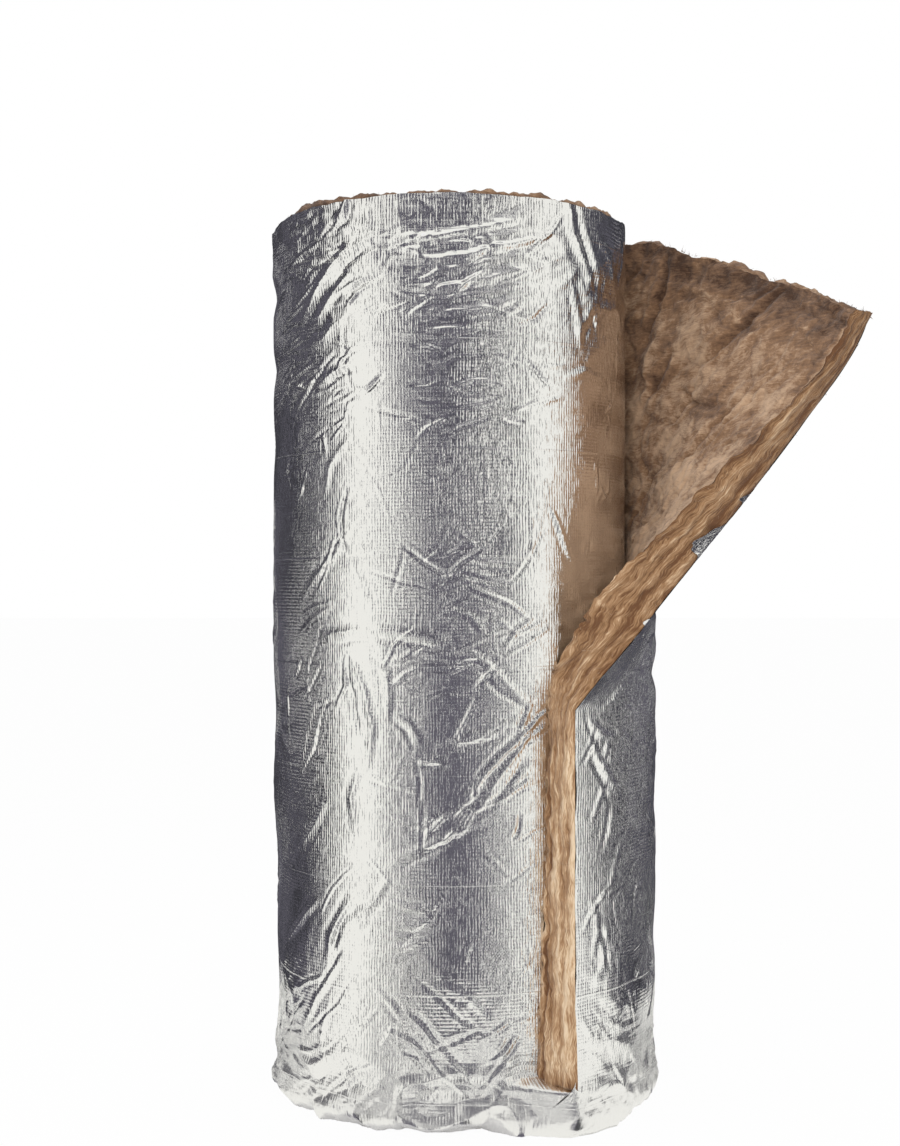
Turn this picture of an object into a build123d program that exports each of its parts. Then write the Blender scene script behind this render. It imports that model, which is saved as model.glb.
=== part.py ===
from build123d import *
import os
from math import acos, atan2, cos, degrees, inf, radians, sin, sqrt, tan

"""A roll of foil-faced glass wool blanket on its end, with the top corner of its loose end peeled away.

The blanket is one long strip of wool, wound with its foil facing outwards. In plan the winding is a spiral
of half-turns about two centres, so every layer is an exact arc and each full turn is one wound thickness
smaller. The outermost turn ends in an upright cut edge. Its lower part lies on the roll. Its upper part
leaves the roll along a tangent that reaches further round with height, so the loose corner stands out.

Frame: Z up, origin on the axis of the bore at the floor, -Y towards the side that shows the cut edge.
"""

# Blanket, in millimetres
blanket_width = 1200
wound_thickness = 42
frayed_thickness = 70
corner_thickness = 24
facing_thickness = 1

# Roll
first_turn_radius = 274
bore_radius = 45
seam_direction = -59

# Foot of the roll, where the facing is tucked under the wool
shoulder_radius = 24
hem_lift = 2

# Top of the roll, where the ragged wool stands above the cut facing
facing_setback = 10

# Turns showing on the ends
groove_width = 4
groove_depth = 12

# Loose corner
peel_angle = 105.8
loosened_margin = 8
covered_margin = 16
frayed_clearance = 0.5
edge_lean = 36.8
edge_heading = 61
droop_start = 160
corner_droop = 22
band_count = 6

facing_top = blanket_width - facing_setback
shoulder_height = shoulder_radius + hem_lift
loosened_angle = peel_angle + loosened_margin
covered_angle = peel_angle + covered_margin


def turn_radius(half_turn):
    """Radius of the facing on a half-turn, counted inwards from the loose end."""
    return first_turn_radius - half_turn * wound_thickness / 2


def turn_centre(half_turn):
    """The two centres of the winding lie a quarter of a thickness each side of the bore's axis."""
    side = 1 if half_turn % 2 == 0 else -1
    return Pos(side * wound_thickness / 4, 0, 0)


def wind(profile, half_turn, sweep=180):
    """Sweeps a profile, drawn in the XZ plane at its radius, round one half-turn of the winding."""
    return turn_centre(half_turn) * Rot(0, 0, 180 * (half_turn % 2)) * revolve(profile, Axis.Z, sweep)


def upright_strip(inner, outer, bottom, top):
    """A rectangle in the XZ plane between two radii and two heights."""
    corners = [(inner, bottom), (outer, bottom), (outer, top), (inner, top)]
    return Plane.XZ * make_face(Polyline(*corners, close=True))


def wool_profile(facing_radius):
    """The wound wool from the axis out to the inside of the facing, with the rounded foot."""
    outer = facing_radius - facing_thickness
    foot = facing_radius - shoulder_radius
    shoulder = shoulder_radius - facing_thickness
    edges = [
        Polyline((0, 0), (foot, 0), (foot, hem_lift + facing_thickness)),
        CenterArc((foot, shoulder_height), shoulder, -90, 90),
        Polyline((outer, shoulder_height), (outer, blanket_width), (0, blanket_width), (0, 0)),
    ]
    return Plane.XZ * make_face(edges)


def facing_profile(facing_radius):
    """The facing alone: upright against the wool, then round the foot to its hem just clear of the floor."""
    inner = facing_radius - facing_thickness
    foot = facing_radius - shoulder_radius
    edges = [
        CenterArc((foot, shoulder_height), shoulder_radius, -90, 90),
        Polyline(
            (facing_radius, shoulder_height),
            (facing_radius, facing_top),
            (inner, facing_top),
            (inner, shoulder_height),
        ),
        CenterArc((foot, shoulder_height), shoulder_radius - facing_thickness, 0, -90),
        Line((foot, hem_lift + facing_thickness), (foot, hem_lift)),
    ]
    return Plane.XZ * make_face(edges)


def edge_travel(angle):
    """How far, in plan, the loose edge has moved where the blanket leaves the roll at this angle."""
    return first_turn_radius * (1 - cos(radians(angle))) / cos(radians(edge_heading - angle))


peel_start = blanket_width - edge_travel(peel_angle) / tan(radians(edge_lean))


def leaving_height(angle):
    """Height at which the blanket leaves the roll at this angle round from the cut edge."""
    return peel_start + edge_travel(angle) / tan(radians(edge_lean))


def outward(angle):
    return Vector(cos(radians(angle)), sin(radians(angle)))


def loose_edge(angle, depth):
    """Plan place of the loose edge, at a depth into the blanket from the outside of its facing."""
    on_facing = Vector(first_turn_radius, 0) + outward(edge_heading) * edge_travel(angle)
    return on_facing - outward(angle) * depth


def tangent_angle(radius, end):
    """Angle round the roll at which a straight line to the loose edge leaves a circle of this radius."""
    return degrees(atan2(end.Y, end.X) + acos(min(1, radius / end.length)))


def loose_side(radius, foot_end, head_end, upper):
    """One side of a band of the loose turn, at its foot or head: along the roll, then straight off it."""
    high = tangent_angle(radius, head_end)
    held = CenterArc((0, 0), radius, loosened_angle, high - loosened_angle)
    on_roll = foot_end.length - radius < 1e-6
    low = 0 if on_roll else tangent_angle(radius, foot_end)
    if not upper:
        still_held = CenterArc((0, 0), radius, high, low - high)
        return [held, still_held] if on_roll else [held, still_held, Line(outward(low) * radius, foot_end)]
    leave = outward(high) * radius
    if on_roll:
        return [held, Line(leave, head_end)]
    freed = leave + (head_end - leave).normalized() * radius * radians(high - low)
    return [held, Line(leave, freed), Line(freed, head_end)]


def loose_section(low, high, upper, outer_depth, inner_depth, end_depth_at):
    """The loose turn cut level, at the foot or the head of the band between two leaving angles."""
    outer_ends = [loose_edge(angle, outer_depth) for angle in (low, high)]
    inner_ends = [loose_edge(angle, end_depth_at(angle)) for angle in (low, high)]
    outer = loose_side(first_turn_radius - outer_depth, *outer_ends, upper)
    inner = loose_side(first_turn_radius - inner_depth, *inner_ends, upper)
    root = Line(outer[0] @ 0, inner[0] @ 0)
    cut_edge = Line(outer_ends[upper], inner_ends[upper])
    height = leaving_height(high if upper else low)
    return Pos(0, 0, height) * make_face([*outer, cut_edge, *inner, root])


def loose_turn(outer_depth, inner_depth, end_depth_at, top):
    """The peeled part of the outer turn, in bands whose leaving angle reaches further round with height."""
    step = peel_angle / band_count
    turn = None
    for band in range(band_count):
        sides = (outer_depth, inner_depth, end_depth_at)
        foot = loose_section(band * step, (band + 1) * step, False, *sides)
        head = loose_section(band * step, (band + 1) * step, True, *sides)
        piece = loft([foot, head], ruled=True)
        turn = piece if turn is None else turn + piece
    return turn_centre(0) * (turn - above_the_droop(top))


def above_the_droop(top):
    """What lies above the sloping top edge of the loose corner, some way past where it leaves the roll."""
    reach = droop_start + 2 * first_turn_radius + edge_travel(peel_angle)
    drop = (reach - droop_start) * tan(radians(corner_droop))
    above = blanket_width + drop
    corners = [(droop_start, top), (reach, top - drop), (reach, above), (droop_start, above)]
    slope = make_face(Polyline(*corners, close=True))
    leaving = Plane(origin=(0, 0, 0), x_dir=outward(peel_angle - 90), z_dir=-outward(peel_angle))
    return leaving * extrude(slope, 2 * first_turn_radius, both=True)


def room_beneath(angle):
    """Depth between the facing at the loose edge and the turn that the blanket leaves at this angle."""
    beneath = first_turn_radius - wound_thickness
    off_the_roll = loose_edge(angle, 0).length ** 2 - first_turn_radius**2
    if angle == 0:
        return wound_thickness
    if off_the_roll >= beneath**2:
        return inf
    return first_turn_radius - sqrt(beneath**2 - off_the_roll) - frayed_clearance


def wool_end_depth(angle):
    """Depth of the blanket at its loose edge: as wound, frayed open off the roll, thin at its tip."""
    loosened = angle / peel_angle
    swelling = facing_thickness + frayed_thickness - wound_thickness
    pinch = wound_thickness - corner_thickness
    frayed = wound_thickness + swelling * abs(sin(radians(180 * loosened))) ** 1.5 - pinch * loosened**4
    return min(frayed, room_beneath(angle))


def end_grooves(first_half_turn, bottom, top):
    """The line between each turn and the next, cut into one end of the roll."""
    grooves = []
    half_turn = first_half_turn
    innermost = bore_radius + wound_thickness
    while turn_radius(half_turn) - groove_width > innermost:
        radius = turn_radius(half_turn)
        grooves.append(wind(upright_strip(radius - groove_width, radius, bottom, top), half_turn))
        half_turn += 1
    return grooves


def loosened_part():
    """The space on the roll that the loose corner has left."""
    outer = first_turn_radius + frayed_thickness
    strip = upright_strip(turn_radius(2), outer, peel_start, blanket_width + frayed_thickness)
    return wind(strip, 0, loosened_angle)


def foil_facing():
    """The outer turn of the facing, its peeled part, and the next turn where it runs under the loose end."""
    outer_turn = wind(facing_profile(turn_radius(0)), 0) - loosened_part()
    inner_turn = wind(facing_profile(turn_radius(1)), 1)
    under_radius = turn_radius(2)
    under = upright_strip(under_radius - facing_thickness, under_radius, shoulder_height, facing_top)
    loose = loose_turn(0, facing_thickness, lambda angle: facing_thickness, facing_top)
    return outer_turn + inner_turn + wind(under, 2, covered_angle) + loose


def glass_wool_blanket(facing):
    """The wound wool with its bore and the peeled corner, less the space that the facing takes."""
    roll = wind(wool_profile(turn_radius(0)), 0) + wind(wool_profile(turn_radius(1)), 1)
    roll -= loosened_part()
    roll -= end_grooves(2, blanket_width - groove_depth, blanket_width)
    roll -= end_grooves(3, 0, groove_depth)
    roll -= Cylinder(bore_radius, blanket_width, align=(Align.CENTER, Align.CENTER, Align.MIN))
    loose = loose_turn(facing_thickness, wound_thickness, wool_end_depth, blanket_width)
    return roll + loose - facing


facing = foil_facing()
wool = glass_wool_blanket(facing)

os.makedirs("parts", exist_ok=True)
for node, solid in {"foil_facing": facing, "glass_wool_blanket": wool}.items():
    export_step(Rot(0, 0, seam_direction) * solid, f"parts/{node}.step")
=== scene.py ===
import math
from functools import partial
from itertools import product

import bmesh
import bpy
import numpy as np
from bpy.props import FloatProperty, PointerProperty, StringProperty
from bpy.types import Operator, Panel, PropertyGroup
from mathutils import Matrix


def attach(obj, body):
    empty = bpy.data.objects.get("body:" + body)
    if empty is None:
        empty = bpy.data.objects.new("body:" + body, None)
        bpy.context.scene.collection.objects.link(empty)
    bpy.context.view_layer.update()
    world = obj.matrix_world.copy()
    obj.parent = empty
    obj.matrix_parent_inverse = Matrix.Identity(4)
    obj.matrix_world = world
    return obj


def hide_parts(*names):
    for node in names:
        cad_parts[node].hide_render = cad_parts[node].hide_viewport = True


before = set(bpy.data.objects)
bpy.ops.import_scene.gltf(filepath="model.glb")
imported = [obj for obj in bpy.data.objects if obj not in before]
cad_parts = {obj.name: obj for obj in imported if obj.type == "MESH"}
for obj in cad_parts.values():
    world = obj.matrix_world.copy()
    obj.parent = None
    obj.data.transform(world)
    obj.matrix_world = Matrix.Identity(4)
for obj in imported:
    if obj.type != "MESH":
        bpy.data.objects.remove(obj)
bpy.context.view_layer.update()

bl_info = {
    "name": "Foil-faced insulation roll",
    "version": (1, 0, 0),
    "blender": (4, 5, 0),
    "location": "3D View > Sidebar > Insulation roll",
    "description": "Builds a roll of foil-faced glass wool blanket with its top corner peeled back, and its studio",
    "category": "Object",
}


# Sizes and colours that a user would change


def length(name, description, default):
    return FloatProperty(name=name, description=description, default=default, unit="LENGTH", subtype="DISTANCE")


def angle(name, description, degrees):
    return FloatProperty(name=name, description=description, default=math.radians(degrees), subtype="ANGLE")


def colour(name, description, default):
    return StringProperty(name=name, description=description, default=default)


class RollSizes(PropertyGroup):
    """The blanket and the way it is wound."""

    blanket_width: length("Blanket width", "Width of the blanket, which is the roll's height", 1.2)
    wound_thickness: length("Wound thickness", "Distance from one turn to the next", 0.042)
    frayed_thickness: length("Frayed thickness", "Thickness of the cut edge where nothing presses it", 0.088)
    corner_thickness: length("Corner thickness", "Thickness of the pulled corner at its tip", 0.023)
    first_turn_radius: length("First turn radius", "Radius of the facing at the loose end", 0.274)
    bore_radius: length("Bore radius", "Radius of the hollow at the middle", 0.045)
    foot_radius: length("Foot radius", "Radius at which the facing turns under the roll", 0.024)
    facing_setback: length("Facing setback", "How far the wool stands above the cut facing", 0.01)
    seam_direction: angle("Seam direction", "Direction of the upright cut edge in plan", -59)
    peel_angle: angle("Peel angle", "How far round the blanket has left the roll at its top", 105.8)
    edge_heading: angle("Edge heading", "Direction in plan in which the loose edge leans, from the seam", 61)
    edge_lean: angle("Edge lean", "Lean of the loose edge from upright", 36.8)
    droop_start: length("Droop start", "How far from the roll the top of the loose corner starts to droop", 0.16)
    corner_droop: angle("Corner droop", "Slope of the drooping top edge", 22)


class FoilLook(PropertyGroup):
    """The bright facing."""

    metal: colour("Foil", "Colour of the aluminium foil", "#F0EFEE")
    roughness: FloatProperty(name="Roughness", description="Roughness of the foil between its creases", default=0.1)
    thread_spacing: length("Thread spacing", "Distance between the threads of the scrim", 0.004)
    crumple: FloatProperty(name="Crumple", description="Strength of the small creases", default=1.0)


class WoolLook(PropertyGroup):
    """The brown glass wool."""

    # The deep brown is the wool's darker patches and also the painted shade in its hollows
    deep: colour("Deep brown", "Wool in its hollows", "#4A3426")
    middle: colour("Brown", "Wool of the blanket's face", "#8B6B50")
    pale: colour("Pale brown", "Loose fibre that catches the light", "#C2A284")
    # The deep brown of the cut edge is also the painted shade in the gaps between its layers and in its split
    cut_deep: colour("Cut edge, deep", "Gaps between the layers of the cut edge", "#6C4A31")
    cut_middle: colour("Cut edge", "Layers of the cut edge", "#A78463")
    cut_pale: colour("Cut edge, pale", "Bright fibre of the cut edge", "#E0C8A9")
    wisps: FloatProperty(name="Wisps", description="How many loose wisps the ragged edges have", default=1.0)


class StudioLook(PropertyGroup):
    """The pale floor, the lamps and what the foil mirrors."""

    floor: colour("Floor", "Colour of the floor", "#F4F4F4")
    screen: colour("White screens", "Colour of the lit screens that the foil mirrors", "#FAFAF5")
    dim_screen: colour("Dim screens", "Colour of the unlit screens between the dark cloth", "#6A6873")
    dark_cloth: colour("Dark cloth", "Colour of the cloth hung round the studio", "#3A3A3F")
    camera_height: length("Camera height", "Height of the camera", 0.704)
    camera_distance: length("Camera distance", "Distance from the camera to the roll's axis", 2.26)


# Sizes in metres that only the shapes below use

HEM_LIFT = 0.002  # the tucked hem over the floor
WOOL_INSET = 0.0012  # the wool behind the facing at a cut
EDGE_SWELL = 0.007  # the cut edge out of the winding, below the peel
EDGE_RISE = 0.51  # the drooping tip over the foot of the peel
EDGE_SPREAD = 0.05  # width of the cut edge where it is laid out flat for its pattern
FOIL_GAP = 0.0006  # the lowest foil over the floor
WOOL_GAP = 0.0004  # the lowest wool over the floor
TURN_GAP = 0.0005  # the wool of one turn from the facing of the next
TURN_ROUNDING = 0.013  # how far each turn rounds down at its edges, on the ends of the roll
WELD = 0.00005  # the bore's wall where it closes
WISP_RADIUS = 0.00055  # a loose wisp at its root

# Degrees round from the seam at which
INNERMOST = 1850  # the winding reaches the bore
LAST_EDGE = 1700  # the facing's edge stops showing on the ends
TOP_EDGE = 482  # it starts to show on the upper end
FOOT_EDGE = 366  # it starts to show on the lower end
RIM_START = 104  # the upper end starts, under the peeled corner
RIM_END = 486  # the next turn's top covers the side of the rim

# Material slot and CAD node of each kind of piece
WOOL = ("glass_wool", "glass_wool_blanket")
FOIL = ("aluminium_foil", "foil_facing")


# Numbers


def smooth_step(low, high, value):
    t = np.clip((value - low) / (high - low), 0, 1)
    return t * t * (3 - 2 * t)


def bump(centre, spread, value):
    """A rounded hump, 1 at its centre."""
    return np.exp(-(((value - centre) / spread) ** 2))


# The twelve directions to the edges of a cube, twice over
GRADIENTS = np.array([v for v in product((-1, 0, 1), repeat=3) if sum(map(abs, v)) == 2] * 2, dtype=np.float32)


def scatter(cell, seed):
    """A whole number from 0 to 23 for each cell of a lattice."""
    n = cell[..., 0] * 374761393 + cell[..., 1] * 668265263 + cell[..., 2] * 2147483647 + seed * 974634777
    n = (n ^ (n >> 13)) * 1274126177
    n = n & 0x7FFFFFFF
    return (n ^ (n >> 16)) % len(GRADIENTS)


def noise(points, wavelength, seed):
    """Gradient noise, from about -1 to 1, at points in metres."""
    q = np.asarray(points, dtype=np.float64) / wavelength + 100.5
    cell = np.floor(q).astype(np.int64)
    part = q - cell
    fade = part**3 * (part * (part * 6 - 15) + 10)
    total = np.zeros(q.shape[:-1])
    for corner in product((0, 1), repeat=3):
        c = np.array(corner)
        gradient = GRADIENTS[scatter(cell + c, seed)]
        reach = ((part - c) * gradient).sum(-1)
        weight = np.where(c == 1, fade, 1 - fade).prod(-1)
        total += weight * reach
    return total


def flat_noise(u, v, wavelength, seed):
    """Noise over the unrolled blanket."""
    points = np.stack([u, v, np.full_like(u, seed * 0.37)], -1)
    return noise(points, wavelength, seed)


def creased(u, v, wavelength, seed):
    """Noise with sharp ridges, as in crumpled foil, from 0 to 1."""
    bend_u = flat_noise(u, v, wavelength * 1.7, seed + 1) * wavelength * 0.5
    bend_v = flat_noise(u, v, wavelength * 1.7, seed + 2) * wavelength * 0.5
    return 1 - np.minimum(1, 2.2 * np.abs(flat_noise(u + bend_u, v + bend_v, wavelength, seed)))


# The winding


class Winding:
    """The path of the blanket: half-turns about two centres, and the corner that leaves along a tangent."""

    def __init__(self, sizes):
        self.width = sizes.blanket_width
        self.pitch = sizes.wound_thickness
        self.frayed = sizes.frayed_thickness
        self.tip = sizes.corner_thickness
        self.first = sizes.first_turn_radius
        self.bore = sizes.bore_radius
        self.foot = sizes.foot_radius
        self.knee = self.foot + HEM_LIFT
        self.facing_top = self.width - sizes.facing_setback
        self.seam = sizes.seam_direction
        self.peel = math.degrees(sizes.peel_angle)
        self.heading = sizes.edge_heading
        self.droop_start = sizes.droop_start
        self.droop = math.tan(sizes.corner_droop)
        # Travel of the loose edge and height at which the blanket leaves the roll, for each leaving angle
        self.angles = np.linspace(0, 130, 521)
        leaving = np.radians(self.angles)
        self.travels = self.first * (1 - np.cos(leaving)) / np.cos(self.heading - leaving)
        rises = self.travels / math.tan(sizes.edge_lean)
        self.peel_start = self.width - float(np.interp(self.peel, self.angles, rises))
        self.heights = self.peel_start + rises

    def flat(self, turned):
        """Distance along the blanket from its loose end, at an angle in degrees round from the seam."""
        half = np.floor(np.maximum(turned, 0) / 180)
        whole = math.pi * (half * self.first - self.pitch / 2 * half * (half - 1) / 2)
        return whole + np.radians(turned - 180 * half) * (self.first - half * self.pitch / 2)

    def flat_path(self, path):
        """Places in degrees round and millimetres up, as metres along and up the unrolled blanket."""
        return [(float(self.flat(np.array(float(turned)))), height / 1000) for turned, height in path]

    def leaving(self, height):
        return np.interp(height, self.heights, self.angles)

    def wound(self, turned, depth):
        """Plan place on the roll, before it is turned to the seam's direction, and the outward direction."""
        half = np.floor(np.maximum(turned, 0) / 180)
        side = np.where(half % 2 == 0, 1.0, -1.0)
        radius = self.first - half * self.pitch / 2 - depth
        out = np.radians(turned)
        return side * self.pitch / 4 + radius * np.cos(out), radius * np.sin(out), out

    def place(self, turned, height, depth):
        """Plan place of the blanket, peeled corner included, and the outward direction."""
        x, y, out = self.wound(turned, depth)
        leave = self.leaving(height)
        left = np.radians(leave)
        travel = np.interp(leave, self.angles, self.travels)
        start_x, start_y = self.first * np.cos(left), self.first * np.sin(left)
        # The loose edge bows out between its foot and its tip
        run = (height - self.peel_start) / EDGE_RISE
        bow = 0.013 * smooth_step(0, 0.2, run) * (1 - smooth_step(0.82, 1.02, run))
        bow = bow + 0.010 * smooth_step(0.2, 0.6, run) * (1 - 0.5 * smooth_step(0.9, 1.02, run))
        end_x = self.first + (travel + bow) * math.cos(self.heading)
        end_y = (travel + bow) * math.sin(self.heading)
        share = (leave - turned) / np.maximum(leave, 1e-6)
        off = (turned < leave) & (leave > 1e-4)
        flat_x = self.pitch / 4 + start_x + share * (end_x - start_x) - depth * np.cos(left)
        flat_y = start_y + share * (end_y - start_y) - depth * np.sin(left)
        return np.where(off, flat_x, x), np.where(off, flat_y, y), np.where(off, left, out)

    def cut_face(self, height, depth):
        """Plan places on the cut edge, and the direction in plan that it faces there."""
        x, y, _ = self.place(np.zeros_like(height), height, depth)
        behind_x, behind_y, _ = self.place(np.ones_like(height), height, depth)
        gap = np.hypot(behind_x - x, behind_y - y)
        return x, y, (x - behind_x) / gap, (y - behind_y) / gap

    def points(self, x, y, z):
        """Turns plan places to the seam's direction and stacks them with their heights."""
        c, s = math.cos(self.seam), math.sin(self.seam)
        return np.stack([x * c - y * s, x * s + y * c, z + 0 * x], -1)

    def outwards(self, out, tilt=0.0):
        """Unit vectors that point out of the roll, tilted down by an angle."""
        x, y = np.cos(out + self.seam) * np.cos(tilt), np.sin(out + self.seam) * np.cos(tilt)
        return np.stack([x, y, -np.sin(tilt) + 0 * out], -1)

    def reach(self, turned, height):
        """Distance out along the peeled corner, from where its top leaves the roll."""
        lean = math.radians(self.peel - 90)
        x, y, _ = self.place(turned, height, 0.0)
        return (x - self.pitch / 4) * math.cos(lean) + y * math.sin(lean)

    def crest(self, turned, top):
        """Height of the top edge, which droops towards the loose corner; each pass comes nearer to it."""
        height = np.full(np.shape(turned), float(top))
        for _ in range(30):
            drop = self.droop * np.maximum(0, self.reach(turned, height) - self.droop_start)
            height = np.where(turned < self.peel, top - drop, top)
        return height

    def rise(self, turned, level, top):
        """Height of a level of the blanket, squeezed under the drooping top edge."""
        squeeze = (self.crest(turned, top) - self.peel_start) / (top - self.peel_start)
        return np.where(level > self.peel_start, self.peel_start + (level - self.peel_start) * squeeze, level)

    def loose_depth(self, turned, height):
        """Depth of the wool from the facing: as wound, frayed open towards the loose edge, thin at the tip."""
        leave = self.leaving(height)
        share = np.clip((leave - turned) / np.maximum(leave, 1e-6), 0, 1)
        loosened = np.clip(leave / self.peel, 0, 1)
        swelling = (self.frayed - self.pitch) * np.sin(np.pi * loosened) ** 1.5
        pinch = (self.pitch - self.tip) * loosened**4
        return self.pitch + (swelling - pinch) * share**2.5

    def swell(self, height):
        """How far the cut edge stands out of the winding, which ends at the foot of the peel."""
        return EDGE_SWELL * (1 - smooth_step(self.peel_start - 0.02, self.peel_start + 0.08, height))


# Meshes


def quad_mesh(name, places, faces):
    """A smooth mesh of four-sided faces."""
    mesh = bpy.data.meshes.new(name)
    mesh.vertices.add(len(places))
    mesh.vertices.foreach_set("co", places.astype(np.float32).ravel())
    mesh.loops.add(faces.size)
    mesh.loops.foreach_set("vertex_index", faces.astype(np.int32).ravel())
    mesh.polygons.add(len(faces))
    mesh.polygons.foreach_set("loop_start", np.arange(0, faces.size, 4, dtype=np.int32))
    mesh.update(calc_edges=True)
    mesh.polygons.foreach_set("use_smooth", np.ones(len(faces), dtype=bool))
    return mesh


def add_piece(mesh, material, slot_name, solid):
    """Puts a mesh in the scene as one piece of the roll."""
    mesh.materials.append(material)
    piece = bpy.data.objects.new(mesh.name, mesh)
    bpy.context.scene.collection.objects.link(piece)
    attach(piece, "root")
    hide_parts(solid)


def grid_faces(rows, columns, start):
    first = np.arange(rows - 1)[:, None] * columns + np.arange(columns - 1)[None, :] + start
    return np.stack([first, first + 1, first + columns + 1, first + columns], -1).reshape(-1, 4)


def make_piece(name, patches, material, kind, merge=0.0):
    """One piece from patches: grids of (points, flat coordinates, relief, normals or None)."""
    places, flats, reliefs, normals = (
        [part.reshape(-1, size) for part in parts if part is not None]
        for parts, size in zip(zip(*patches), (3, 2, 1, 3))
    )
    starts = np.cumsum([0] + [len(part) for part in places])
    faces = np.concatenate([grid_faces(*patch[0].shape[:2], start) for patch, start in zip(patches, starts)])
    mesh = quad_mesh(name, np.concatenate(places), faces)
    uv = mesh.uv_layers.new(name="flat")
    uv.data.foreach_set("uv", np.concatenate(flats)[faces.ravel()].astype(np.float32).ravel())
    attribute = mesh.attributes.new("relief", "FLOAT", "POINT")
    attribute.data.foreach_set("value", np.concatenate(reliefs).astype(np.float32).ravel())
    if normals:
        mesh.normals_split_custom_set_from_vertices(np.concatenate(normals).tolist())
    if merge:
        weld(mesh, merge)
    add_piece(mesh, material, *kind)


def turned_over(patch, axis=1):
    """A patch with its grid reversed along one axis, so that it faces the other way."""
    return tuple(None if part is None else np.flip(part, axis) for part in patch)


def weld(mesh, distance):
    shape = bmesh.new()
    shape.from_mesh(mesh)
    bmesh.ops.remove_doubles(shape, verts=shape.verts, dist=distance)
    shape.to_mesh(mesh)
    shape.free()


def unit(vectors):
    return vectors / np.maximum(np.linalg.norm(vectors, axis=-1, keepdims=True), 1e-12)


def grid_normals(points):
    """Normals of a grid from its neighbours on both sides."""
    return unit(np.cross(np.gradient(points, axis=1), np.gradient(points, axis=0)))


# Facing

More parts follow.
